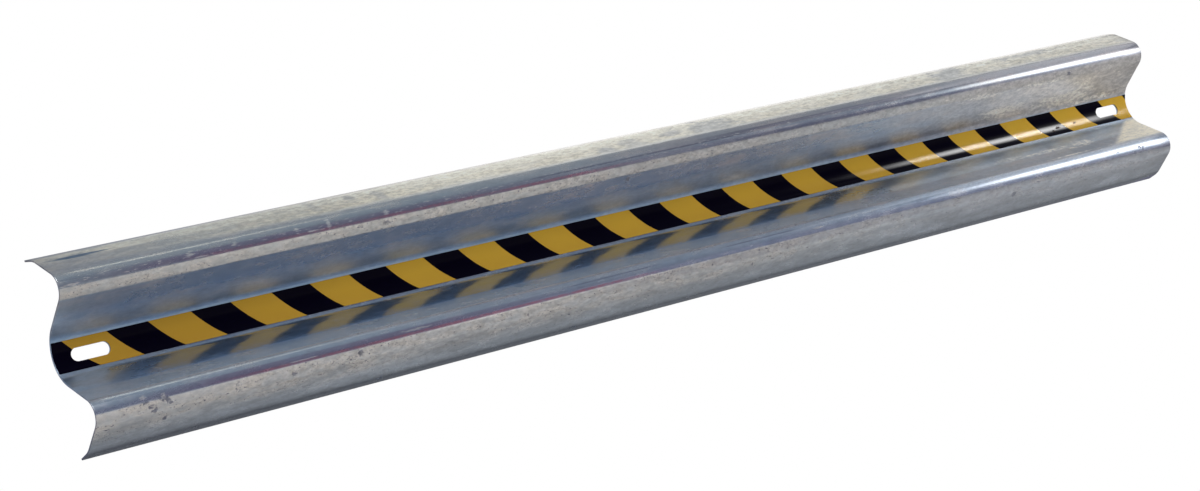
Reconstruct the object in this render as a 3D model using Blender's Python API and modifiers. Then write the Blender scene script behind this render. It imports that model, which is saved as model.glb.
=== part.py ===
"""Industrial guard rail: one length of galvanised W-beam with a strip of hazard tape.

The beam is a single 3 mm steel sheet, roll-formed into two forward crests with a wide
valley between them, and with its long edges turned further back as lips. One bolt slot
is punched through the valley near each end. A black and yellow adhesive tape runs along
the whole valley, and the slots are cut through it too.

Frame: +X along the rail, +Z up, the traffic face towards -Y. The origin is at the middle
of the beam's length, height and depth. Lengths are in metres.
"""

from math import atan2, ceil, cos, hypot, radians, sin, tan

import bmesh
import bpy
from mathutils import Vector

# Rolled sheet. The radii are those of the traffic face.
RAIL_LENGTH = 2.500
SHEET_THICKNESS = 0.003
VALLEY_RADIUS = 0.052
WEB_SLOPE = radians(55.0)       # webs and flanges lean this far from the vertical
WEB_FLAT = 0.0548
CREST_RADIUS = 0.028
FLANGE_FLAT = 0.043
LIP_RADIUS = 0.045
LIP_SLOPE = radians(78.0)       # the outer edges lie nearly level
LIP_FLAT = 0.016
EDGE_RADIUS = 0.0005            # the zinc rounds the sheared edges

# Bolt slots, with round ends and their long way along the rail
SLOT_LENGTH = 0.067
SLOT_HEIGHT = 0.021
SLOT_FROM_END = 0.064           # from the end of the rail to the slot's centre

# Hazard tape
TAPE_WIDTH = 0.050              # measured around the valley
TAPE_THICKNESS = 0.0003
TAPE_CLEARANCE = 0.0003         # between the zinc and the film
TAPE_END_MARGIN = 0.0005        # the tape stops just short of the cut ends
STRIPE_PITCH = 0.1496           # one black and one yellow stripe, along the rail
BLACK_WIDTH = 0.0731            # along the rail
STRIPE_LEAN = radians(46.3)     # the stripes' tops lean towards -X
FIRST_BLACK = 0.1211            # from the rail's -X end, on the valley's centre line

# Fineness of the bends
VALLEY_FACETS = 21              # odd, so one facet faces straight back to the post
FACET_ANGLE = radians(7.0)
SLOT_END_SEGMENTS = 8           # a quarter of a slot's outline
EDGE_SEGMENTS = 2


def remove_everything():
    for old in list(bpy.data.objects):
        bpy.data.objects.remove(old, do_unlink=True)
    for old in list(bpy.data.collections):
        bpy.data.collections.remove(old)


def make_collection(name):
    collection = bpy.data.collections.new(name)
    bpy.context.scene.collection.children.link(collection)
    return collection


def make_material(name, colour, roughness, metallic):
    material = bpy.data.materials.new(name)
    material.use_nodes = True
    material.diffuse_color = (*colour, 1.0)
    shader = material.node_tree.nodes["Principled BSDF"]
    shader.inputs["Base Color"].default_value = (*colour, 1.0)
    shader.inputs["Roughness"].default_value = roughness
    shader.inputs["Metallic"].default_value = metallic
    return material


def put_in_scene(name, bm, collection, materials):
    mesh = bpy.data.meshes.new(name)
    bm.to_mesh(mesh)
    bm.free()
    for material in materials:
        mesh.materials.append(material)
    made = bpy.data.objects.new(name, mesh)
    collection.objects.link(made)
    return made


# The sheet's line in cross-section, as (y, z) points


def add_bend(line, radius, start, end, facets):
    """Carry the line round a bend. A heading is measured from +Z towards the traffic."""
    y, z = line[-1]
    side = 1.0 if end > start else -1.0
    for step in range(1, facets + 1):
        heading = start + (end - start) * step / facets
        line.append((y + side * radius * (cos(heading) - cos(start)),
                     z + side * radius * (sin(heading) - sin(start))))


def add_flat(line, heading, length):
    y, z = line[-1]
    line.append((y - length * sin(heading), z + length * cos(heading)))


def facets_for(turn):
    return 2 * ceil(turn / FACET_ANGLE / 2.0)


def traffic_face_line():
    """The traffic face from the lower lip to the upper one, with the valley at y = 0."""
    half_facet = WEB_SLOPE / VALLEY_FACETS
    upper = [(VALLEY_RADIUS * (cos(half_facet) - 1.0), VALLEY_RADIUS * sin(half_facet))]
    add_bend(upper, VALLEY_RADIUS, half_facet, WEB_SLOPE, VALLEY_FACETS // 2)
    add_flat(upper, WEB_SLOPE, WEB_FLAT)
    add_bend(upper, CREST_RADIUS, WEB_SLOPE, -WEB_SLOPE, facets_for(2.0 * WEB_SLOPE))
    add_flat(upper, -WEB_SLOPE, FLANGE_FLAT)
    add_bend(upper, LIP_RADIUS, -WEB_SLOPE, -LIP_SLOPE, facets_for(LIP_SLOPE - WEB_SLOPE))
    add_flat(upper, -LIP_SLOPE, LIP_FLAT)
    lower = [(y, -z) for y, z in reversed(upper)]
    return lower + upper


def offset_line(line, distance):
    """The parallel line at a distance behind this one, with mitred corners."""
    headings = [atan2(-(b[0] - a[0]), b[1] - a[1]) for a, b in zip(line, line[1:])]
    moved = []
    for index, (y, z) in enumerate(line):
        before = headings[max(index - 1, 0)]
        after = headings[min(index, len(headings) - 1)]
        middle = (before + after) / 2.0
        reach = distance / cos((after - before) / 2.0)
        moved.append((y + reach * cos(middle), z + reach * sin(middle)))
    return moved


def lengths_along(line):
    """Distance of each point around the line, counted upwards from its middle."""
    total = [0.0]
    for a, b in zip(line, line[1:]):
        total.append(total[-1] + hypot(b[0] - a[0], b[1] - a[1]))
    return [length - total[-1] / 2.0 for length in total]


def point_at(line, lengths, wanted):
    for index in range(len(line) - 1):
        if wanted <= lengths[index + 1] or index == len(line) - 2:
            share = (wanted - lengths[index]) / (lengths[index + 1] - lengths[index])
            (y0, z0), (y1, z1) = line[index], line[index + 1]
            return y0 + share * (y1 - y0), z0 + share * (z1 - z0)


FACE_LINE = traffic_face_line()
BACK_LINE = offset_line(FACE_LINE, SHEET_THICKNESS)
FRONT = min(y for y, z in FACE_LINE)
BACK = max(y for y, z in FACE_LINE + BACK_LINE)
MIDDLE = (FRONT + BACK) / 2.0


def extrude_along_rail(points, length):
    """An open surface whose cross-section runs through (y, z) points, facing -Y."""
    bm = bmesh.new()
    ring = [bm.verts.new((-length / 2.0, y, z)) for y, z in points]
    edges = [bm.edges.new(pair) for pair in zip(ring, ring[1:])]
    made = bmesh.ops.extrude_edge_only(bm, edges=edges)["geom"]
    far = [item for item in made if isinstance(item, bmesh.types.BMVert)]
    bmesh.ops.translate(bm, verts=far, vec=(length, 0.0, 0.0))
    bm.normal_update()
    wrong = [face for face in bm.faces if face.normal.y > 0.0]
    bmesh.ops.reverse_faces(bm, faces=wrong)
    return bm


def thicken(item, thickness, direction):
    """Solidify to the front (+1) or to the back (-1) of the surface."""
    shell = item.modifiers.new("thickness", "SOLIDIFY")
    shell.thickness = thickness
    shell.offset = direction
    shell.use_even_offset = True


def round_sheared_edges(sheet):
    """Only the square edges of the cut ends and the lips, not the bends' facets."""
    rounding = sheet.modifiers.new("sheared edges", "BEVEL")
    rounding.width = EDGE_RADIUS
    rounding.segments = EDGE_SEGMENTS
    rounding.limit_method = "ANGLE"
    rounding.angle_limit = radians(60.0)


def punch(item, cutters):
    for cutter in cutters:
        hole = item.modifiers.new(cutter.name, "BOOLEAN")
        hole.operation = "DIFFERENCE"
        hole.solver = "EXACT"
        hole.object = cutter


def make_slot_cutters(collection):
    """One punch for each end: a box whose edges along Y are rounded by half its height."""
    bm = bmesh.new()
    bmesh.ops.create_cube(bm, size=1.0)
    reach = 4.0 * (BACK - FRONT)
    bmesh.ops.scale(bm, vec=(SLOT_LENGTH, reach, SLOT_HEIGHT), verts=bm.verts)
    across = [edge for edge in bm.edges
              if abs(edge.verts[0].co.y - edge.verts[1].co.y) > reach / 2.0]
    bmesh.ops.bevel(bm, geom=across, offset=SLOT_HEIGHT / 2.0, offset_type="OFFSET",
                    segments=SLOT_END_SEGMENTS, profile=0.5, affect="EDGES",
                    clamp_overlap=True)
    bmesh.ops.remove_doubles(bm, verts=bm.verts, dist=0.00001)
    left = put_in_scene("slot_punch_left", bm, collection, [])
    right = bpy.data.objects.new("slot_punch_right", left.data)
    collection.objects.link(right)
    for cutter, side in ((left, -1.0), (right, 1.0)):
        cutter.location.x = side * (RAIL_LENGTH / 2.0 - SLOT_FROM_END)
        cutter.display_type = "WIRE"
        cutter.hide_render = True
    return [left, right]


def make_beam(collection, cutters):
    zinc = make_material("galvanised_steel", (0.47, 0.49, 0.52), 0.38, 0.85)
    points = [(y - MIDDLE, z) for y, z in FACE_LINE]
    bm = extrude_along_rail(points, RAIL_LENGTH)
    beam = put_in_scene("rail_beam", bm, collection, [zinc])
    thicken(beam, SHEET_THICKNESS, -1.0)
    round_sheared_edges(beam)
    punch(beam, cutters)
    beam.data.shade_smooth()
    beam.data.set_sharp_from_angle(angle=radians(35.0))
    return beam


def is_black(x, height):
    along = x + height * tan(STRIPE_LEAN) + RAIL_LENGTH / 2.0 - FIRST_BLACK
    return along % STRIPE_PITCH < BLACK_WIDTH


def split_along_stripes(bm):
    """Cut the flat strip, still in the XZ plane, along both edges of every black stripe."""
    across = Vector((cos(STRIPE_LEAN), 0.0, sin(STRIPE_LEAN)))
    slack = TAPE_WIDTH * tan(STRIPE_LEAN)
    count = ceil((RAIL_LENGTH + slack) / STRIPE_PITCH) + 2
    for number in range(-2, count):
        for edge in (0.0, BLACK_WIDTH):
            x = FIRST_BLACK + number * STRIPE_PITCH + edge - RAIL_LENGTH / 2.0
            bmesh.ops.bisect_plane(bm, geom=bm.verts[:] + bm.edges[:] + bm.faces[:],
                                   plane_co=(x, 0.0, 0.0), plane_no=across, dist=0.000001)


def make_tape(collection, cutters):
    yellow = make_material("tape_yellow", (0.60, 0.34, 0.035), 0.30, 0.0)
    black = make_material("tape_black", (0.004, 0.004, 0.008), 0.22, 0.0)

    # The film keeps the facets of the sheet behind it, a clearance in front of them.
    line = offset_line(FACE_LINE, -TAPE_CLEARANCE)
    lengths = lengths_along(line)
    half = TAPE_WIDTH / 2.0
    stations = [-half] + [length for length in lengths if abs(length) < half] + [half]

    bm = extrude_along_rail([(0.0, height) for height in stations],
                            RAIL_LENGTH - 2.0 * TAPE_END_MARGIN)
    split_along_stripes(bm)
    for face in bm.faces:
        centre = face.calc_center_median()
        face.material_index = 1 if is_black(centre.x, centre.z) else 0
    for vert in bm.verts:
        y, z = point_at(line, lengths, vert.co.z)
        vert.co.y, vert.co.z = y - MIDDLE, z
    tape = put_in_scene("hazard_tape", bm, collection, [yellow, black])
    thicken(tape, TAPE_THICKNESS, 1.0)
    punch(tape, cutters)
    tape.data.shade_smooth()
    tape.data.set_sharp_from_angle(angle=radians(35.0))
    return tape


def main():
    remove_everything()
    parts = make_collection("guard_rail")
    cutters = make_slot_cutters(make_collection("cutters"))
    make_beam(parts, cutters)
    make_tape(parts, cutters)


main()
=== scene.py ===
from math import cos, pi, radians, sin, tan

import bmesh
import bpy
from mathutils import Matrix, Vector


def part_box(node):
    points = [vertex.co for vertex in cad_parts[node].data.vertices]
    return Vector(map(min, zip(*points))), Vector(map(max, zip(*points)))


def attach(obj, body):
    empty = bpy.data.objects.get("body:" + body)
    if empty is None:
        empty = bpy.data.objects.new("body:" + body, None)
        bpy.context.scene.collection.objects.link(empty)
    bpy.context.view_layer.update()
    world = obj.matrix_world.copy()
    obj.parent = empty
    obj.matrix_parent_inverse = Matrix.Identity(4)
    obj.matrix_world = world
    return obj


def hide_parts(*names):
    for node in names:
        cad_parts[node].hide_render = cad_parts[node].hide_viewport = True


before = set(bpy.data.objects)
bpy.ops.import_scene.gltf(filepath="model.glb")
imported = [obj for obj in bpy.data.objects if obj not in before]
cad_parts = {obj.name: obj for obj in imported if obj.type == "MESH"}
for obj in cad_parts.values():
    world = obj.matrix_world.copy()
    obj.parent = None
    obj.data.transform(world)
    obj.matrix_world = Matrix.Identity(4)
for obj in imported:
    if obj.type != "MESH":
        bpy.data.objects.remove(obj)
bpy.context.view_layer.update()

# Beam: one 3 mm steel sheet, rolled into two forward crests with a wide valley between them,
# its long edges turned further back as lips. A bolt slot is punched through the valley near
# each end, and the whole sheet was dipped in zinc afterwards.
RAIL_LENGTH = 2.500
SHEET_THICKNESS = 0.003
VALLEY_RADIUS = 0.052
VALLEY_FLAT = radians(55.0 / 21.0)     # half of the flat at the very bottom of the valley
WEB_SLOPE = radians(55.0)
WEB_FLAT = 0.0548
CREST_RADIUS = 0.028
FLANGE_FLAT = 0.043
LIP_RADIUS = 0.045
LIP_SLOPE = radians(78.0)
LIP_FLAT = 0.016
EDGE_RADIUS = 0.0006           # the sheared edges, rounded
SLOT_LENGTH = 0.067
SLOT_HEIGHT = 0.021
SLOT_FROM_END = 0.064
PUNCH_DEPTH = 0.3
VALLEY_STEPS = 34
CREST_STEPS = 72
LIP_STEPS = 14
SLOT_STEPS = 16
BEAM_STATIONS = 40
FILM_STEPS = 20
SAME_POINT = 0.000001


def roll_bend(bm, vert, radius, start, end, steps):
    """Carry the end of the section's line round a bend. Headings turn from +Z to the traffic."""
    side = 1.0 if end > start else -1.0
    centre = (vert.co.x, vert.co.y - side * radius * cos(start),
              vert.co.z - side * radius * sin(start))
    made = bmesh.ops.spin(bm, geom=[vert], cent=centre, axis=(1.0, 0.0, 0.0), angle=end - start,
                          steps=steps, use_duplicate=False)
    return [item for item in made["geom_last"] if isinstance(item, bmesh.types.BMVert)][0]


def run_straight(bm, vert, heading, length, steps):
    for _ in range(steps):
        vert = bmesh.ops.extrude_vert_indiv(bm, verts=[vert])["verts"][0]
        vert.co += Vector((0.0, -sin(heading), cos(heading))) * (length / steps)
    return vert


def section_line(radius_change=0.0, reach=None):
    """The line of the traffic face from lip to lip, or of a film laid in the valley."""
    bm = bmesh.new()
    radius = VALLEY_RADIUS - radius_change
    first = bm.verts.new((0.0, radius * cos(VALLEY_FLAT) - VALLEY_RADIUS, radius * sin(VALLEY_FLAT)))
    if reach is None:
        end = roll_bend(bm, first, radius, VALLEY_FLAT, WEB_SLOPE, VALLEY_STEPS)
        end = run_straight(bm, end, WEB_SLOPE, WEB_FLAT, 4)
        end = roll_bend(bm, end, CREST_RADIUS, WEB_SLOPE, -WEB_SLOPE, CREST_STEPS)
        end = run_straight(bm, end, -WEB_SLOPE, FLANGE_FLAT, 3)
        end = roll_bend(bm, end, LIP_RADIUS, -WEB_SLOPE, -LIP_SLOPE, LIP_STEPS)
        run_straight(bm, end, -LIP_SLOPE, LIP_FLAT, 2)
    else:
        roll_bend(bm, first, radius, VALLEY_FLAT, reach / VALLEY_RADIUS, FILM_STEPS)
    bmesh.ops.mirror(bm, geom=bm.verts[:] + bm.edges[:], matrix=Matrix.Identity(4),
                     merge_dist=SAME_POINT, axis="Z")
    bm.verts.ensure_lookup_table()
    low = sorted(bm.verts, key=lambda vert: abs(vert.co.z))[:2]
    bm.edges.new(low)
    return bm


def draw_out(bm, length, stations):
    """Draw the section's line out along the rail, with its faces towards the traffic."""
    lines = bm.edges[:]
    made = bmesh.ops.extrude_edge_only(bm, edges=lines)["geom"]
    far = [item for item in made if isinstance(item, bmesh.types.BMVert)]
    bmesh.ops.translate(bm, verts=bm.verts, vec=(-length / 2.0, 0.0, 0.0))
    bmesh.ops.translate(bm, verts=far, vec=(length, 0.0, 0.0))
    along = [edge for edge in bm.edges if abs(edge.verts[0].co.x - edge.verts[1].co.x) > length / 2.0]
    bmesh.ops.subdivide_edges(bm, edges=along, cuts=stations - 1, use_grid_fill=True)
    bm.normal_update()
    bmesh.ops.reverse_faces(bm, faces=[face for face in bm.faces if face.normal.y > 0.0])
    return bm


def mark_out(bm):
    """A map on the flat sheet in metres: along from the left end, and up around the section."""
    sheet = bm.loops.layers.uv.new("sheet")
    end = [vert.co.copy() for vert in bm.verts if vert.co.x < -RAIL_LENGTH / 2.0 + 0.01]
    heights = sorted({round(point.z, 6): point for point in end}.items())
    around, last, total = {}, None, 0.0
    for key, point in heights:
        if last is not None:
            total += ((point.y - last.y) ** 2 + (point.z - last.z) ** 2) ** 0.5
        around[key], last = total, point
    for face in bm.faces:
        for loop in face.loops:
            height = around[round(loop.vert.co.z, 6)] - total / 2.0
            loop[sheet].uv = (loop.vert.co.x + RAIL_LENGTH / 2.0, height)


def make_object(name, bm, material=None):
    mesh = bpy.data.meshes.new(name)
    bm.to_mesh(mesh)
    bm.free()
    made = bpy.data.objects.new(name, mesh)
    bpy.context.scene.collection.objects.link(made)
    if material is not None:
        mesh.materials.append(material)
    return made


def slot_punch(side):
    """A round-ended punch, marked out like the sheet that it cuts."""
    bm = bmesh.new()
    bmesh.ops.create_cube(bm, size=1.0)
    bmesh.ops.scale(bm, vec=(SLOT_LENGTH, PUNCH_DEPTH, SLOT_HEIGHT), verts=bm.verts)
    across = [edge for edge in bm.edges if abs(edge.verts[0].co.y - edge.verts[1].co.y) > 0.1]
    bmesh.ops.bevel(bm, geom=across, offset=SLOT_HEIGHT / 2.0, offset_type="OFFSET",
                    segments=SLOT_STEPS, profile=0.5, affect="EDGES", clamp_overlap=True, material=-1)
    bmesh.ops.remove_doubles(bm, verts=bm.verts, dist=0.00001)
    bmesh.ops.translate(bm, verts=bm.verts, vec=(side * (RAIL_LENGTH / 2.0 - SLOT_FROM_END), 0.0, 0.0))
    sheet = bm.loops.layers.uv.new("sheet")
    for face in bm.faces:
        for loop in face.loops:
            loop[sheet].uv = (loop.vert.co.x + RAIL_LENGTH / 2.0, loop.vert.co.z)
    return make_object("punch", bm)


def punch_slots(piece):
    punches = [slot_punch(side) for side in (-1.0, 1.0)]
    for punch in punches:
        hole = piece.modifiers.new("slot", "BOOLEAN")
        hole.operation, hole.solver, hole.object = "DIFFERENCE", "EXACT", punch
    return punches


def finish_mesh(piece, helpers=()):
    """Keep the mesh that the modifiers make, and clear away the modifiers and the punches."""
    made = bpy.data.meshes.new_from_object(piece.evaluated_get(bpy.context.evaluated_depsgraph_get()))
    piece.modifiers.clear()
    piece.data = made
    for helper in helpers:
        bpy.data.objects.remove(helper, do_unlink=True)
    made.shade_smooth()
    made.set_sharp_from_angle(angle=radians(35.0))


bm = section_line()
front = min(vert.co.y for vert in bm.verts)
bmesh.ops.translate(bm, verts=bm.verts, vec=(0.0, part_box("rail_beam")[0].y - front, 0.0))
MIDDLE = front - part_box("rail_beam")[0].y
draw_out(bm, RAIL_LENGTH, BEAM_STATIONS)
mark_out(bm)
beam = make_object("galvanised_beam", bm)
shell = beam.modifiers.new("sheet", "SOLIDIFY")
shell.thickness, shell.offset, shell.use_even_offset = SHEET_THICKNESS, -1.0, True
rounding = beam.modifiers.new("sheared edges", "BEVEL")
rounding.width, rounding.segments = EDGE_RADIUS, 3
rounding.limit_method, rounding.angle_limit = "ANGLE", radians(60.0)
finish_mesh(beam, punch_slots(beam))


class Finish:
    """A material whose pattern follows the flat sheet: s runs along and t around, in metres."""

    def __init__(self, name):
        self.material = bpy.data.materials.new(name)
        self.material.use_nodes = True
        self.tree = self.material.node_tree
        self.shader = self.tree.nodes["Principled BSDF"]
        self.uv = self.add("ShaderNodeUVMap", uv_map="sheet").outputs["UV"]
        split = self.add("ShaderNodeSeparateXYZ")
        self.tree.links.new(self.uv, split.inputs[0])
        self.along, self.around = split.outputs["X"], split.outputs["Y"]

    def add(self, kind, **settings):
        node = self.tree.nodes.new(kind)
        for key, value in settings.items():
            setattr(node, key, value)
        return node

    def feed(self, socket, value):
        if isinstance(value, bpy.types.NodeSocket):
            self.tree.links.new(value, socket)
        else:
            socket.default_value = value

    def math(self, operation, a, b=0.0, c=0.0, clamp=False):
        node = self.add("ShaderNodeMath", operation=operation, use_clamp=clamp)
        for socket, value in zip(node.inputs, (a, b, c)):
            self.feed(socket, value)
        return node.outputs[0]

    def rise(self, value, low, high, bottom=0.0, top=1.0):
        """Bottom below low, top above high, and an even curve between them."""
        node = self.add("ShaderNodeMapRange", interpolation_type="SMOOTHSTEP")
        for name, given in (("Value", value), ("From Min", low), ("From Max", high),
                            ("To Min", bottom), ("To Max", top)):
            self.feed(node.inputs[name], given)
        return node.outputs["Result"]

    def band(self, value, low, high, soft):
        """One between low and high, fading out over soft on both sides."""
        return self.math("MULTIPLY", self.rise(value, low - soft, low),
                         self.rise(value, high, high + soft, 1.0, 0.0))

    def grain(self, along, around, detail=4.0, roughness=0.55, seed=0.0):
        """Noise whose grains are this long and this high, in metres."""
        place = self.add("ShaderNodeMapping", vector_type="POINT")
        self.feed(place.inputs["Vector"], self.uv)
        place.inputs["Location"].default_value = (seed, seed * 0.7, seed * 0.3)
        place.inputs["Scale"].default_value = (1.0 / along, 1.0 / around, 1.0)
        noise = self.add("ShaderNodeTexNoise")
        self.feed(noise.inputs["Vector"], place.outputs["Vector"])
        for name, given in (("Scale", 1.0), ("Detail", detail), ("Roughness", roughness)):
            noise.inputs[name].default_value = given
        return noise.outputs["Fac"]

    def spot(self, ragged, along, around, half_length, half_height, strength=1.0):
        """A mark at a place on the sheet, with ragged edges."""
        x = self.math("DIVIDE", self.math("SUBTRACT", self.along, along), half_length)
        y = self.math("DIVIDE", self.math("SUBTRACT", self.around, around), half_height)
        reach = self.math("SQRT", self.math("MULTIPLY_ADD", x, x, self.math("MULTIPLY", y, y)))
        torn = self.math("MULTIPLY_ADD", ragged, -4.0, self.math("ADD", reach, 2.0))
        return self.rise(torn, 0.5, 1.3, strength, 0.0)

    def most(self, masks):
        result = masks[0]
        for mask in masks[1:]:
            result = self.math("MAXIMUM", result, mask)
        return result

    def mix(self, amount, a, b, blend="MIX"):
        node = self.add("ShaderNodeMix", data_type="RGBA", blend_type=blend)
        self.feed(node.inputs["Factor"], amount)
        self.feed(node.inputs[6], a)
        self.feed(node.inputs[7], b)
        return node.outputs[2]


# The zinc's own colours, and those of what lies on it.
ZINC_DEEP = (0.38, 0.47, 0.54, 1.0)
ZINC_CLEAR = (0.47, 0.53, 0.57, 1.0)
PATCH_PALE = (0.62, 0.62, 0.60, 1.0)
PATCH_DARK = (0.30, 0.35, 0.40, 1.0)
MIRROR_BLUE = (0.22, 0.36, 0.60, 1.0)
BLOOM_AND_LIGHT_CREAM = (0.87, 0.80, 0.63, 1.0)
BLOOM_TAN = (0.70, 0.60, 0.49, 1.0)
CREAM_AND_PAINTED_LIGHT = (1.0, 0.93, 0.76, 1.0)
RUN_GREY = (0.50, 0.495, 0.475, 1.0)
PAINTED_FLOOR_WARM = (0.66, 0.605, 0.545, 1.0)
DARK_FOOT_REFLECTION = (0.28, 0.22, 0.34, 1.0)
RED_FRINGE_REFLECTION = (0.56, 0.22, 0.27, 1.0)
LOWER_EDGE_GREY = (0.19, 0.205, 0.22, 1.0)
FROST_GREY = (0.63, 0.60, 0.57, 1.0)
SCUFF_CREAM = (1.0, 0.96, 0.86, 1.0)
STAIN_BLUE = (0.12, 0.19, 0.28, 1.0)
STAIN_DARK = (0.075, 0.085, 0.150, 1.0)

zinc = Finish("galvanised_zinc")
zinc.shader.inputs["Coat IOR"].default_value = 2.2
zinc.shader.inputs["Coat Roughness"].default_value = 0.10

# Broad clouds from the bath, patches in them, and the fine mottle of the zinc itself.
cloud = zinc.grain(0.160, 0.040, detail=5.0, roughness=0.6, seed=3.1)
patch = zinc.grain(0.045, 0.016, detail=6.0, roughness=0.66, seed=7.7)
mottle = zinc.grain(0.012, 0.006, detail=4.0, roughness=0.7, seed=1.3)
colour = zinc.mix(zinc.rise(cloud, 0.35, 0.68), ZINC_DEEP, ZINC_CLEAR)
colour = zinc.mix(zinc.rise(patch, 0.48, 0.72, 0.0, 0.5), colour, PATCH_PALE)
colour = zinc.mix(zinc.rise(patch, 0.30, 0.48, 0.4, 0.0), colour, PATCH_DARK)

# Broad tints, matched to the photograph under this light: lilac crests and flanges, most of all
# by the left end, a warmer and paler upper web with a blue foot, and a bluer lower half. These
# tints are painted reflection, the colour of what each face mirrors, and the upper flange's darker
# left end is painted shade.
lilac = zinc.math("ADD", zinc.rise(zinc.around, 0.120, 0.130), zinc.band(zinc.around, -0.145, -0.112, 0.008))
colour = zinc.mix(lilac, colour, (1.00, 0.935, 0.90, 1.0), "MULTIPLY")
left_flange = zinc.math("MULTIPLY", zinc.rise(zinc.around, 0.145, 0.165),
                        zinc.rise(zinc.along, 0.05, 0.45, 1.0, 0.0))
colour = zinc.mix(left_flange, colour, (0.80, 0.77, 0.83, 1.0), "MULTIPLY")
crest = zinc.math("MULTIPLY", zinc.band(zinc.around, 0.139, 0.156, 0.004), zinc.rise(zinc.along, 0.8, 1.3))
colour = zinc.mix(crest, colour, (1.00, 0.87, 0.85, 1.0), "MULTIPLY")
web = zinc.band(zinc.around, 0.040, 0.100, 0.012)
colour = zinc.mix(web, colour, (1.26, 1.05, 0.92, 1.0), "MULTIPLY")
colour = zinc.mix(zinc.rise(zinc.around, 0.020, -0.004), colour, (1.00, 1.05, 1.16, 1.0), "MULTIPLY")
colour = zinc.mix(zinc.band(zinc.around, 0.020, 0.062, 0.024), colour, (0.94, 1.11, 1.30, 1.0), "MULTIPLY")
paler = zinc.math("MULTIPLY", zinc.band(zinc.around, 0.082, 0.102, 0.012),
                  zinc.band(zinc.along, 1.05, 1.45, 0.35))
colour = zinc.mix(paler, colour, (1.50, 1.36, 1.24, 1.0), "MULTIPLY")
colour = zinc.mix(zinc.band(zinc.around, -0.110, -0.080, 0.006), colour, (1.03, 0.94, 0.90, 1.0), "MULTIPLY")

# The middle of the lower web, which mirrors the tape, is clearer, and painted a deeper blue that
# tints the tape's reflection there, a painted reflection colour.
mirror = zinc.math("MULTIPLY", zinc.band(zinc.around, -0.076, -0.038, 0.007),
                   zinc.rise(zinc.along, 1.3, 1.8, 1.0, 0.0))
mirror = zinc.math("MULTIPLY", mirror, zinc.rise(zinc.along, 0.03, 0.14, 0.25, 1.0))
colour = zinc.mix(zinc.math("MULTIPLY", mirror, 0.85), colour, MIRROR_BLUE)

# A cream bloom lies on the upper flange and its lip, thickest along the bend, broken by grey
# runs. It is partly painted light on this top face: weaker by the left end, where the face is lit
# least, and paler along the bend to the lip as a painted highlight. A painted patch of light in
# the same pale cream lies across the lower web by the right end, cut off by a slanted edge.
runs = zinc.most([zinc.spot(patch, *place) for place in (
    (0.490, 0.195, 0.010, 0.022, 0.5), (0.565, 0.197, 0.010, 0.012, 0.7), (0.617, 0.178, 0.010, 0.030, 0.6),
    (1.094, 0.168, 0.020, 0.018, 0.9), (1.158, 0.172, 0.026, 0.020, 0.7), (1.260, 0.187, 0.026, 0.013, 0.8),
    (1.343, 0.180, 0.060, 0.034, 0.9), (1.972, 0.186, 0.050, 0.040, 0.9), (2.216, 0.199, 0.080, 0.010, 0.8))])
flange = zinc.math("MULTIPLY", zinc.rise(zinc.around, 0.150, 0.169),
                   zinc.rise(zinc.along, 0.0, 0.55, 0.30, 1.0))
light_patch = zinc.rise(zinc.math("MULTIPLY_ADD", zinc.around, -1.55, zinc.along), 2.506, 2.528)
light_patch = zinc.math("MULTIPLY", light_patch, zinc.band(zinc.around, -0.100, -0.034, 0.012))
bloom_and_light = zinc.math("MULTIPLY", flange, zinc.rise(patch, 0.30, 0.55, 0.72, 1.0))
cream_and_painted_light = zinc.math("MULTIPLY", zinc.band(zinc.around, 0.193, 0.208, 0.008), zinc.rise(zinc.along, -0.15, 0.20))
cream_and_painted_light = zinc.math("MAXIMUM", zinc.math("MULTIPLY", cream_and_painted_light, zinc.rise(patch, 0.36, 0.52, 0.4, 1.0)),
                  zinc.math("MULTIPLY", light_patch, zinc.rise(mottle, 0.35, 0.60, 0.82, 1.0)))
colour = zinc.mix(bloom_and_light, colour, BLOOM_AND_LIGHT_CREAM)
coarse = zinc.grain(0.034, 0.012, detail=5.0, roughness=0.75, seed=41.0)
broken = zinc.math("MULTIPLY", bloom_and_light, zinc.rise(coarse, 0.50, 0.62, 0.0, 0.45))
colour = zinc.mix(broken, colour, BLOOM_TAN)
colour = zinc.mix(cream_and_painted_light, colour, CREAM_AND_PAINTED_LIGHT)
colour = zinc.mix(zinc.math("MULTIPLY", runs, flange), colour, RUN_GREY)

# A warm band lies under each crest, a painted reflection of the floor that these downward faces
# mirror; it is peppered with dark specks of dross.
warm = zinc.math("ADD", zinc.band(zinc.around, 0.1085, 0.1255, 0.0015),
                 zinc.math("MULTIPLY", zinc.rise(zinc.around, -0.134, -0.137),
                           zinc.rise(zinc.around, -0.205, -0.162)))
warm = zinc.math("MULTIPLY", warm, zinc.rise(zinc.along, 1.10, 1.80, 1.0, 0.5))
floor_mirrored = zinc.math("MULTIPLY", warm, zinc.rise(patch, 0.30, 0.65, 0.45, 0.9))
colour = zinc.mix(floor_mirrored, colour, PAINTED_FLOOR_WARM)
speck = zinc.grain(0.0036, 0.0026, detail=1.5, seed=12.0)
specks = zinc.math("MULTIPLY", zinc.rise(speck, 0.60, 0.70),
                   zinc.math("MULTIPLY", warm, zinc.rise(patch, 0.44, 0.56)))

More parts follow.
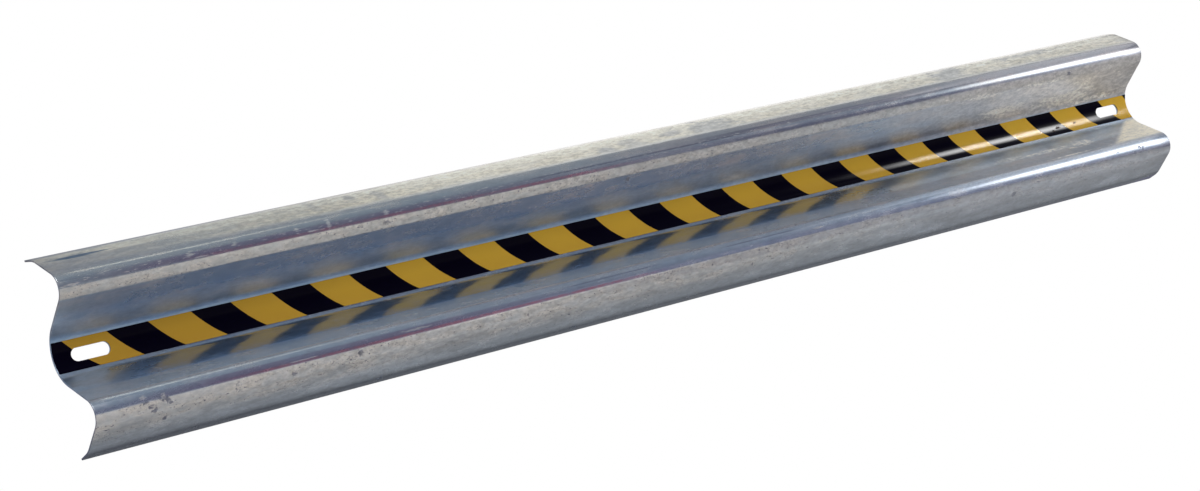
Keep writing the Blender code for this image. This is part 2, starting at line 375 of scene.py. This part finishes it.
# Each crest's foot is painted purple, a painted reflection of the dark surroundings in front,
# with a thin red line along its lower edge, also painted reflection.
foot = zinc.math("ADD", zinc.band(zinc.around, 0.1290, 0.1365, 0.0030),
                 zinc.band(zinc.around, -0.1325, -0.1245, 0.0030))
reach = zinc.math("MULTIPLY", zinc.rise(zinc.along, 0.02, 0.26), zinc.rise(zinc.along, 0.60, 1.02, 1.0, 0.0))
foot = zinc.math("MULTIPLY", foot, reach)
foot = zinc.math("MULTIPLY", foot, zinc.rise(cloud, 0.30, 0.60, 0.4, 0.85))
colour = zinc.mix(foot, colour, DARK_FOOT_REFLECTION)
red_fringe = zinc.math("ADD", zinc.band(zinc.around, 0.1274, 0.1302, 0.0018),
                   zinc.band(zinc.around, -0.1342, -0.1316, 0.0018))
reach = zinc.math("MULTIPLY", zinc.rise(zinc.along, 0.18, 0.34), zinc.rise(zinc.along, 0.95, 1.20, 1.0, 0.0))
fringe_breakup = zinc.math("MULTIPLY", zinc.rise(cloud, 0.30, 0.55, 0.5, 1.0), zinc.rise(mottle, 0.35, 0.55, 0.4, 1.0))
red_fringe = zinc.math("MULTIPLY", zinc.math("MULTIPLY", red_fringe, reach), fringe_breakup)
colour = zinc.mix(zinc.math("MULTIPLY", red_fringe, 0.9), colour, RED_FRINGE_REFLECTION)

# Fine lines and soft bands run along the sheet, some darker and some lighter. All are painted
# light and shade: the lighter ones are painted highlights on both crests and painted light beside
# them, the darker ones painted dark reflections along the crests and webs and painted shade on
# the lower flange and at the lower lip's left end.
def lengthwise_band(low, high, soft, start, full, end, gone, strength):
    inside = zinc.math("MULTIPLY", zinc.rise(zinc.along, start, full),
                       zinc.rise(zinc.along, end, gone, strength, 0.0))
    return zinc.math("MULTIPLY", zinc.band(zinc.around, low, high, soft), inside)


dark = zinc.most([lengthwise_band(*place) for place in (
    (0.1368, 0.1382, 0.0012, 0.85, 0.95, 1.35, 1.45, 0.8),
    (0.1402, 0.1440, 0.0020, 1.20, 1.42, 1.75, 1.85, 0.9),
    (0.1262, 0.1296, 0.0016, 1.25, 1.45, 2.60, 2.70, 0.6),
    (-0.1220, -0.1206, 0.0010, 0.85, 0.95, 1.08, 1.14, 0.8),
    (-0.1206, -0.1192, 0.0010, 1.22, 1.30, 1.42, 1.48, 0.9),
    (0.0290, 0.0400, 0.0060, 1.60, 1.80, 2.05, 2.20, 0.6),
    (-0.1180, -0.1060, 0.0040, 0.50, 0.80, 1.50, 1.80, 0.25),
    (0.1085, 0.1240, 0.0020, 0.85, 1.20, 1.70, 1.90, 0.20),
    (-0.1480, -0.1380, 0.0050, 0.85, 1.20, 2.60, 2.70, 0.30),
    (-0.2400, -0.2230, 0.0450, -0.20, -0.10, 0.20, 0.48, 0.45),
    (-0.2000, -0.1480, 0.0120, 1.55, 1.95, 2.60, 2.70, 0.28))])
light = zinc.most([lengthwise_band(*place) for place in (
    (0.1330, 0.1362, 0.0016, 1.10, 1.45, 2.60, 2.70, 0.9),
    (-0.1280, -0.1236, 0.0020, 1.15, 1.45, 2.60, 2.70, 0.6),
    (0.1290, 0.1420, 0.0030, 0.70, 1.10, 1.80, 2.00, 0.5),
    (-0.1365, -0.1300, 0.0020, 0.45, 0.80, 2.60, 2.70, 0.9),
    (0.1240, 0.1280, 0.0020, 1.85, 2.00, 2.60, 2.70, 0.7))])
colour = zinc.mix(dark, colour, (0.36, 0.36, 0.48, 1.0), "MULTIPLY")
colour = zinc.mix(light, colour, (1.42, 1.40, 1.36, 1.0), "MULTIPLY")

# The lower flange and lip are duller and darker towards the lower edge, in uneven tongues.
edge = zinc.math("MULTIPLY_ADD", patch, 0.08, zinc.math("ADD", zinc.around, -0.12))
edge = zinc.math("MULTIPLY_ADD", cloud, 0.16, edge)
lower_edge_dark = zinc.rise(edge, -0.158, -0.207, 0.0, 0.54)
colour = zinc.mix(lower_edge_dark, colour, LOWER_EDGE_GREY)

# The webs grow greyer to the right and are scuffed to a pale frost there. Bright nicks mark
# both crests.
webs = zinc.math("MULTIPLY_ADD", zinc.band(zinc.around, -0.112, -0.030, 0.008), 0.12,
                 zinc.band(zinc.around, 0.030, 0.122, 0.008))
frosted = zinc.math("ADD", zinc.rise(zinc.along, 0.80, 1.50, 0.0, 0.25),
                    zinc.rise(zinc.along, 1.65, 2.20, 0.0, 0.75))
frosted = zinc.math("MULTIPLY", frosted, webs)
colour = zinc.mix(zinc.math("MULTIPLY", frosted, 0.9), colour, FROST_GREY)
chalk = zinc.math("MULTIPLY", zinc.band(zinc.around, 0.040, 0.100, 0.010),
                  zinc.band(zinc.along, 2.12, 2.32, 0.09))
colour = zinc.mix(chalk, colour, (1.30, 1.28, 1.24, 1.0), "MULTIPLY")
scuff = zinc.grain(0.034, 0.009, detail=6.0, roughness=0.72, seed=21.0)
scuffs = zinc.most([zinc.spot(scuff, *place) for place in (
    (2.105, 0.054, 0.060, 0.012, 0.9), (2.275, 0.050, 0.065, 0.014, 1.0), (2.335, 0.058, 0.040, 0.028, 1.0),
    (2.400, 0.036, 0.050, 0.006, 1.0), (2.190, 0.107, 0.060, 0.005, 0.9), (2.020, 0.106, 0.070, 0.005, 0.7),
    (2.285, -0.071, 0.034, 0.010, 1.0), (2.180, -0.070, 0.080, 0.006, 0.7),
    (2.075, -0.068, 0.040, 0.008, 0.4),
    (2.230, -0.105, 0.110, 0.0022, 0.8))])
frayed = zinc.math("MULTIPLY", frosted, zinc.rise(scuff, 0.50, 0.70, 0.0, 0.6))
scuffs = zinc.math("MAXIMUM", scuffs, frayed)
scuffs = zinc.math("MULTIPLY", scuffs, zinc.rise(mottle, 0.38, 0.58, 0.25, 1.0))
nick = zinc.grain(0.014, 0.0016, detail=2.0, seed=33.0)
nicks = zinc.math("MULTIPLY", zinc.band(zinc.around, 0.130, 0.140, 0.002),
                  zinc.rise(zinc.along, 1.7, 1.9, 1.0, 0.0))
nicks = zinc.math("MULTIPLY", nicks, zinc.rise(nick, 0.62, 0.68))
nicks = zinc.math("MAXIMUM", nicks, zinc.most([zinc.spot(nick, *place) for place in (
    (0.228, 0.1350, 0.007, 0.0040, 0.9), (0.243, 0.1290, 0.012, 0.0012, 0.9),
    (0.310, 0.1365, 0.004, 0.0030, 0.8),
    (0.425, 0.1370, 0.004, 0.0040, 0.9), (0.453, 0.1308, 0.012, 0.0014, 1.0),
    (0.486, 0.1370, 0.004, 0.0080, 0.8),
    (0.598, 0.1340, 0.005, 0.0040, 0.8), (0.020, 0.1290, 0.016, 0.0015, 0.7),
    (0.083, -0.1280, 0.005, 0.0040, 0.7),
    (0.117, -0.1315, 0.004, 0.0040, 0.8), (0.366, -0.1310, 0.036, 0.0010, 0.8),
    (0.590, -0.1275, 0.030, 0.0014, 0.7),
    (1.500, 0.1330, 0.030, 0.0012, 0.7), (1.495, -0.1270, 0.022, 0.0014, 0.7))]))
bare = zinc.math("MULTIPLY", zinc.math("MAXIMUM", scuffs, nicks), 0.95)
colour = zinc.mix(bare, colour, SCUFF_CREAM)

# Stains: a long blue one on the upper flange, smudges by both ends, and single specks.
streak = zinc.grain(0.060, 0.0040, detail=3.0, seed=70.0)
blue = zinc.spot(zinc.math("MULTIPLY_ADD", streak, 0.5, 0.25), 0.064, 0.1945, 0.050, 0.0055, 1.0)
colour = zinc.mix(blue, colour, STAIN_BLUE)
smudges = zinc.most([zinc.spot(speck, *place) for place in (
    (0.085, -0.1355, 0.005, 0.003, 0.8), (0.092, -0.1430, 0.005, 0.004, 0.8),
    (0.101, -0.1510, 0.005, 0.004, 0.8),
    (0.119, -0.1375, 0.007, 0.004, 0.8), (0.127, -0.1430, 0.006, 0.004, 0.7),
    (0.121, -0.1720, 0.004, 0.004, 0.8),
    (0.111, -0.1330, 0.006, 0.003, 0.7), (0.350, -0.1500, 0.005, 0.004, 0.7),
    (0.475, -0.1420, 0.005, 0.004, 0.7),
    (1.115, 0.097, 0.005, 0.005, 0.8), (0.595, 0.118, 0.006, 0.004, 0.6),
    (2.275, 0.117, 0.006, 0.004, 0.8), (2.027, -0.160, 0.006, 0.005, 0.5),
    (2.406, -0.1275, 0.005, 0.003, 0.7),
    (2.414, -0.1310, 0.004, 0.004, 0.7), (2.388, -0.1350, 0.004, 0.003, 0.6),
    (2.337, -0.1270, 0.004, 0.003, 0.5),
    (0.940, -0.214, 0.006, 0.006, 0.6), (0.535, -0.216, 0.005, 0.008, 0.6))])
stain = zinc.math("MAXIMUM", specks, smudges)
colour = zinc.mix(zinc.math("MULTIPLY", stain, 0.9), colour, STAIN_DARK)

# The zinc's own mottle, strongest where the surface is dull.
grains = zinc.most([bloom_and_light, zinc.math("MULTIPLY", frosted, 0.55), lower_edge_dark,
                    zinc.math("MULTIPLY", warm, zinc.rise(zinc.along, 0.05, 0.40, 0.3, 1.0))])
fine = zinc.rise(mottle, 0.30, 0.70, -0.32, 0.24)
fine = zinc.math("MULTIPLY_ADD", fine, zinc.math("MULTIPLY_ADD", grains, 0.75, 0.25), 1.0)
coarse = zinc.math("MULTIPLY", zinc.rise(coarse, 0.35, 0.65, -0.20, 0.14),
                   zinc.math("MULTIPLY", grains, zinc.rise(zinc.along, 1.0, 1.9)))
tone = zinc.add("ShaderNodeVectorMath", operation="SCALE")
zinc.feed(tone.inputs[0], colour)
zinc.feed(tone.inputs["Scale"], zinc.math("ADD", fine, coarse))
zinc.feed(zinc.shader.inputs["Base Color"], tone.outputs[0])

# Bloom, scuffs and stains are dull, and so are the frost and the painted patch of light. The
# rest is bright, as if thinly glazed, except by the left end, along the foot of the upper web and
# towards the lower web's right end.
across = zinc.math("ABSOLUTE", zinc.around)
dulled = zinc.most([scuffs, stain, zinc.math("MULTIPLY", bloom_and_light, 0.35),
                    zinc.math("MULTIPLY", frosted, 0.55), zinc.math("MULTIPLY", light_patch, 0.8)])
smooth = zinc.math("ADD", zinc.band(zinc.around, -0.119, -0.110, 0.003), zinc.band(across, 0.138, 0.152, 0.004))
calm = zinc.math("SUBTRACT", 1.0, smooth)
foot_haze = zinc.math("MULTIPLY", zinc.band(zinc.around, 0.026, 0.056, 0.022),
                      zinc.rise(zinc.along, 1.4, 1.8, 0.95, 0.30))
end_haze = zinc.math("MULTIPLY", zinc.rise(zinc.along, 0.0, 0.28, 0.7, 0.0),
                     zinc.math("MULTIPLY", calm, zinc.rise(zinc.around, -0.140, -0.120)))
web_haze = zinc.math("MULTIPLY", zinc.band(zinc.around, -0.106, -0.034, 0.008),
                     zinc.rise(zinc.along, 1.55, 1.95, 0.0, 0.85))
haze = zinc.most([foot_haze, end_haze, web_haze])
metal = zinc.math("MULTIPLY_ADD", mirror, -0.07, zinc.math("MULTIPLY_ADD", dulled, -0.45, 0.90))
zinc.feed(zinc.shader.inputs["Metallic"], zinc.math("MULTIPLY_ADD", haze, -0.06, metal))
glaze = zinc.math("MULTIPLY_ADD", haze, -0.85, zinc.math("MULTIPLY_ADD", dulled, -1.4, 1.0))
zinc.feed(zinc.shader.inputs["Coat Weight"], zinc.math("MAXIMUM", glaze, 0.0))
rough = zinc.math("ADD", zinc.rise(cloud, 0.3, 0.75, 0.17, 0.25), zinc.rise(patch, 0.4, 0.75, 0.0, 0.12))
rough = zinc.math("MULTIPLY_ADD", haze, 0.18, zinc.math("MULTIPLY_ADD", mirror, -0.05, rough))
zinc.feed(zinc.shader.inputs["Roughness"], zinc.math("MULTIPLY_ADD", dulled, 0.40, rough))

# Long ripples from the rolls, and the unevenness of the dip. The webs in the photograph mirror
# as flats from nearer to the film than the mesh's bend allows, so their feet are tilted here.
TILT_START = 0.026             # this and TILT_END are measured from the valley's middle
TILT_TURN = 0.010
TILT_END = 0.050
TILT_RETURN = 0.014
TILT_RISE = 0.00135
TILT_FALL = 0.00188
RIPPLE_HEIGHT = 0.00022
MOTTLE_HEIGHT = 0.000006
PATCH_HEIGHT = 0.000022
WAVE_HEIGHT = 0.00009
ripple = zinc.grain(0.35, 0.04, detail=2.0, seed=5.0)
leaving = zinc.math("MULTIPLY_ADD", across, 1.0 / TILT_TURN, -TILT_START / TILT_TURN, clamp=True)
joining = zinc.math("MULTIPLY_ADD", across, -1.0 / TILT_RETURN, TILT_END / TILT_RETURN, clamp=True)
fall = zinc.math("MULTIPLY", zinc.math("MULTIPLY", joining, joining), -TILT_FALL)
tilt = zinc.math("MULTIPLY_ADD", zinc.math("MULTIPLY", leaving, leaving), TILT_RISE, fall)
height = zinc.math("MULTIPLY_ADD", ripple, RIPPLE_HEIGHT, tilt)
uneven = zinc.math("MULTIPLY_ADD", mottle, MOTTLE_HEIGHT, zinc.math("MULTIPLY", patch, PATCH_HEIGHT))
height = zinc.math("MULTIPLY_ADD", uneven, calm, height)
wave = zinc.grain(0.010, 0.0040, detail=3.0, seed=51.0)
height = zinc.math("MULTIPLY_ADD", zinc.math("MULTIPLY", wave, mirror), WAVE_HEIGHT, height)
bump = zinc.add("ShaderNodeBump")
bump.inputs["Strength"].default_value = 1.0
bump.inputs["Distance"].default_value = 1.0
zinc.feed(bump.inputs["Height"], height)
zinc.feed(zinc.shader.inputs["Normal"], bump.outputs["Normal"])
zinc.feed(zinc.shader.inputs["Coat Normal"], bump.outputs["Normal"])
beam.data.materials.clear()
beam.data.materials.append(zinc.material)
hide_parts("rail_beam")
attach(beam, "root")

# Hazard tape: a thin adhesive vinyl film, black and yellow, pressed into the bottom of the
# valley from end to end. The two bolt slots are cut through it.
TAPE_WIDTH = 0.050
TAPE_THICKNESS = 0.0003
TAPE_CLEARANCE = 0.0003
TAPE_END_MARGIN = 0.0005
STRIPE_PITCH = 0.1496
BLACK_WIDTH = 0.0731
STRIPE_LEAN = radians(46.3)
FIRST_BLACK = 0.1211
FILM_STATIONS = 100
YELLOW_LEFT = (0.53, 0.30, 0.035, 1.0)
YELLOW_MIDDLE = (0.64, 0.38, 0.042, 1.0)
YELLOW_RIGHT = (0.72, 0.435, 0.048, 1.0)
FILM_BLACK = (0.0012, 0.0004, 0.0050, 1.0)
DIRT_BROWN = (0.05, 0.03, 0.02, 1.0)

bm = section_line(TAPE_CLEARANCE, TAPE_WIDTH / 2.0)
bmesh.ops.translate(bm, verts=bm.verts, vec=(0.0, -MIDDLE, 0.0))
draw_out(bm, RAIL_LENGTH - 2.0 * TAPE_END_MARGIN, FILM_STATIONS)
mark_out(bm)
tape = make_object("hazard_film", bm)
shell = tape.modifiers.new("film", "SOLIDIFY")
shell.thickness, shell.offset, shell.use_even_offset = TAPE_THICKNESS, 1.0, True
finish_mesh(tape, punch_slots(tape))

film = Finish("hazard_vinyl")
lean = film.math("MULTIPLY_ADD", film.around, tan(STRIPE_LEAN), film.along)
turn = film.math("SUBTRACT", lean, FIRST_BLACK - STRIPE_PITCH)
turn = film.math("FRACT", film.math("DIVIDE", turn, STRIPE_PITCH))
black = film.math("LESS_THAN", turn, BLACK_WIDTH / STRIPE_PITCH)
# The yellow is painted darker by the left end and paler towards the right, painted light and shade along the
# film, and darker over its lower half, painted shade.
yellow = film.mix(film.rise(film.along, 0.10, 0.80), YELLOW_LEFT, YELLOW_MIDDLE)
yellow = film.mix(film.rise(film.along, 1.6, 2.3), yellow, YELLOW_RIGHT)
yellow = film.mix(film.rise(film.around, 0.010, -0.022), yellow, (0.84, 0.83, 0.88, 1.0), "MULTIPLY")
colour = film.mix(black, yellow, FILM_BLACK)
dirt = film.grain(0.004, 0.003, detail=2.0, seed=60.0)
specks = film.most([film.spot(dirt, *place) for place in (
    (2.278, -0.010, 0.005, 0.0022, 0.9), (2.262, -0.015, 0.004, 0.0020, 0.8),
    (2.330, -0.008, 0.005, 0.0022, 0.8))])
colour = film.mix(specks, colour, DIRT_BROWN)
film.feed(film.shader.inputs["Base Color"], colour)
film.feed(film.shader.inputs["Roughness"], film.math("MULTIPLY_ADD", specks, 0.75, 0.12))
film.shader.inputs["Specular IOR Level"].default_value = 0.035
tape.data.materials.clear()
tape.data.materials.append(film.material)
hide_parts("hazard_tape")
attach(tape, "root")

# Studio: a pale floor well under the rail, soft boxes and the camera. None of it is part of
# the object.
FLOOR_LEVEL = -0.62
FLOOR_RADIUS = 3.0
FOCAL_LENGTH = 2781.30         # in pixels of the photograph's width
PHOTO_WIDTH = 1200.0
SENSOR_WIDTH = 36.0
bm = bmesh.new()
bmesh.ops.create_circle(bm, cap_ends=True, segments=96, radius=FLOOR_RADIUS)
bmesh.ops.translate(bm, verts=bm.verts, vec=(0.0, 0.0, FLOOR_LEVEL))
floor_finish = bpy.data.materials.new("pale_floor")
floor_finish.use_nodes = True
floor_tree = floor_finish.node_tree
floor_shader = floor_tree.nodes["Principled BSDF"]
floor_shader.inputs["Roughness"].default_value = 0.9
# To all rays but the camera's the floor grows dark behind the rail, a painted shadow of the rail for the zinc
# to mirror; the camera sees it plain white.
place = floor_tree.nodes.new("ShaderNodeTexCoord")
split = floor_tree.nodes.new("ShaderNodeSeparateXYZ")
shade = floor_tree.nodes.new("ShaderNodeValToRGB")
floor_tree.links.new(place.outputs["Object"], split.inputs[0])
floor_tree.links.new(split.outputs["Y"], shade.inputs["Fac"])
shade.color_ramp.elements[0].color = (0.80, 0.77, 0.73, 1.0)
shade.color_ramp.elements[1].position = 0.5
shade.color_ramp.elements[1].color = (0.25, 0.25, 0.26, 1.0)
floor_tree.links.new(shade.outputs["Color"], floor_shader.inputs["Base Color"])
seen = floor_tree.nodes.new("ShaderNodeLightPath")
bright = floor_tree.nodes.new("ShaderNodeEmission")
bright.inputs["Color"].default_value = (1.0, 1.0, 1.0, 1.0)
both = floor_tree.nodes.new("ShaderNodeMixShader")
floor_tree.links.new(seen.outputs["Is Camera Ray"], both.inputs["Fac"])
floor_tree.links.new(floor_shader.outputs["BSDF"], both.inputs[1])
floor_tree.links.new(bright.outputs["Emission"], both.inputs[2])
floor_tree.links.new(both.outputs["Shader"], floor_tree.nodes["Material Output"].inputs["Surface"])
floor = make_object("floor", bm, floor_finish)

world = bpy.data.worlds.new("studio")
bpy.context.scene.world = world
world.use_nodes = True
air = world.node_tree
sky = air.nodes["Background"]
place = air.nodes.new("ShaderNodeTexCoord")
split = air.nodes.new("ShaderNodeSeparateXYZ")
ramp = air.nodes.new("ShaderNodeValToRGB")
air.links.new(place.outputs["Generated"], split.inputs[0])
air.links.new(split.outputs["Z"], ramp.inputs["Fac"])
air.links.new(ramp.outputs["Color"], sky.inputs["Color"])
ramp.color_ramp.interpolation = "EASE"
ramp.color_ramp.elements[0].position = 0.05
ramp.color_ramp.elements[0].color = (0.18, 0.18, 0.25, 1.0)
ramp.color_ramp.elements[1].position = 1.0
ramp.color_ramp.elements[1].color = (0.36, 0.37, 0.39, 1.0)
stop = ramp.color_ramp.elements.new(0.45)
stop.color = (0.24, 0.27, 0.33, 1.0)
stop = ramp.color_ramp.elements.new(0.72)
stop.color = (0.33, 0.37, 0.42, 1.0)
white = air.nodes.new("ShaderNodeBackground")
white.inputs["Color"].default_value = (1.0, 1.0, 1.0, 1.0)
path = air.nodes.new("ShaderNodeLightPath")
chosen = air.nodes.new("ShaderNodeMixShader")
air.links.new(path.outputs["Is Camera Ray"], chosen.inputs["Fac"])
air.links.new(sky.outputs["Background"], chosen.inputs[1])
air.links.new(white.outputs["Background"], chosen.inputs[2])
air.links.new(chosen.outputs["Shader"], air.nodes["World Output"].inputs["Surface"])


def soft_box(name, centre, aim, width, height, brightness, colour=(1.0, 1.0, 1.0),
             fade=(0.0, 0.0, 0.0, 0.0), roll=0.0):
    """A flat light panel, so its power follows its area. Fade is how much of its left, right,
    bottom and top dims towards the edge, each as a share of the panel."""
    light = bpy.data.lights.new(name, "AREA")
    light.shape, light.size, light.size_y = "RECTANGLE", width, height
    light.energy = brightness * pi * width * height
    light.color = colour
    if any(fade):
        light.use_nodes = True
        tree = light.node_tree
        split = tree.nodes.new("ShaderNodeSeparateXYZ")
        tree.links.new(tree.nodes.new("ShaderNodeNewGeometry").outputs["Parametric"], split.inputs[0])
        dim = None
        for axis, share, flip in (("X", fade[0], False), ("X", fade[1], True),
                                  ("Y", fade[2], False), ("Y", fade[3], True)):
            if share:
                step = tree.nodes.new("ShaderNodeMapRange")
                step.interpolation_type = "SMOOTHSTEP"
                tree.links.new(split.outputs[axis], step.inputs["Value"])
                step.inputs["From Min"].default_value = 1.0 if flip else 0.0
                step.inputs["From Max"].default_value = 1.0 - share if flip else share
                if dim is None:
                    dim = step.outputs["Result"]
                else:
                    both = tree.nodes.new("ShaderNodeMath")
                    both.operation = "MULTIPLY"
                    tree.links.new(dim, both.inputs[0])
                    tree.links.new(step.outputs["Result"], both.inputs[1])
                    dim = both.outputs[0]
        tree.links.new(dim, tree.nodes["Emission"].inputs["Strength"])
    panel = bpy.data.objects.new(name, light)
    panel.location = centre
    panel.rotation_euler = (Vector(aim) - Vector(centre)).to_track_quat("-Z", "Y").to_euler()
    panel.rotation_euler.rotate_axis("Z", roll)
    panel.visible_camera = False
    bpy.context.scene.collection.objects.link(panel)
    return panel


soft_box("key", (1.982, -0.687, 0.30), (1.122, 0.003, 0.10), 0.90, 0.84, 4.4,
         fade=(0.36, 0.26, 0.6, 0.62), roll=radians(-24.0))
soft_box("skirt", (2.00, -0.85, -0.15), (1.06, -0.08, -0.15), 0.90, 0.62, 0.17,
         fade=(0.5, 0.0, 0.3, 0.2))

# This one reaches the film only, for the sharp streak along its right half.
glint = soft_box("glint", (1.82, -0.77, 0.36), (0.96, -0.08, 0.10), 0.74, 0.50, 105.0,
                 fade=(0.40, 0.35, 0.5, 0.5), roll=radians(-15.0))
glint.visible_diffuse = False
glossy_film = bpy.data.collections.new("glossy_film")
glossy_film.objects.link(tape)
glint.light_linking.receiver_collection = glossy_film

fill = soft_box("fill", (0.40, -2.20, -0.35), (0.20, 0.0, 0.0), 2.40, 0.50, 1.6)
fill.visible_glossy = False
soft_box("backdrop", (1.95, 2.00, 1.10), (1.95, 0.0, 1.10), 4.60, 2.00, 0.86, (1.0, 0.98, 0.94),
         fade=(0.0, 0.5, 0.0, 0.0))
soft_box("back", (3.00, 1.20, 2.10), (3.00, 1.20, 0.0), 4.70, 1.30, 0.60, (1.0, 0.97, 0.90),
         fade=(0.14, 0.0, 0.4, 0.0))
soft_box("ceiling", (3.60, -0.90, 2.10), (3.60, -0.90, 0.0), 2.00, 2.60, 0.40, fade=(0.3, 0.0, 0.0, 0.0))
soft_box("front", (-2.40, -2.60, 2.50), (-0.1, -0.6, -0.62), 2.40, 2.00, 5.2)
soft_box("tube", (0.64, -0.80, 2.60), (0.64, -0.80, 0.0), 1.66, 0.17, 1.55, (1.0, 0.94, 0.76),
         fade=(0.0, 0.7, 0.0, 0.0))

lens = bpy.data.cameras.new("camera")
lens.sensor_fit, lens.sensor_width = "HORIZONTAL", SENSOR_WIDTH
lens.lens = SENSOR_WIDTH * FOCAL_LENGTH / PHOTO_WIDTH
camera = bpy.data.objects.new("camera", lens)
right = (0.75549, -0.58737, -0.29021)
down = (-0.18185, 0.23755, -0.95420)
ahead = (0.62941, 0.77367, 0.07265)
turned = Matrix((right, [-a for a in down], [-a for a in ahead])).transposed().to_4x4()
camera.matrix_world = Matrix.Translation((-3.2010, -3.6674, -0.3725)) @ turned
bpy.context.scene.collection.objects.link(camera)
bpy.context.scene.camera = camera
bpy.context.scene.view_settings.view_transform = "Standard"
